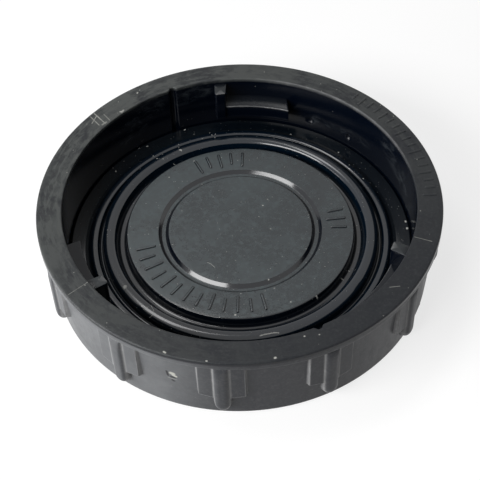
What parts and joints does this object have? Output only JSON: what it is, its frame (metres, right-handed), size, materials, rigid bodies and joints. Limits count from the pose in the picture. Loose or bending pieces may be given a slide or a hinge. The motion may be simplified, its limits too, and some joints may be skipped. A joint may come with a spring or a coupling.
{
  "type": "reservoir cap",
  "caption": "Round bayonet cap for a fluid tank, open side up, with grip ribs, inner lugs and a folded rubber diaphragm.",
  "frame": {"origin": "centre of the closed outer face, which lies on the floor", "axes": "+Z from the closed face to the open rim, along the cap's axis; -Y is the side towards the viewer"},
  "size_m": [0.0662, 0.0662, 0.0153],
  "materials": {
    "shell_plastic": "satin black moulded plastic, dusty and lightly scratched on the rim",
    "diaphragm_rubber": "satin black rubber with dust specks"
  },
  "bodies": {
    "root": {"cap_shell": "shell_plastic", "rubber_diaphragm": "diaphragm_rubber"}
  },
  "joints": []
}
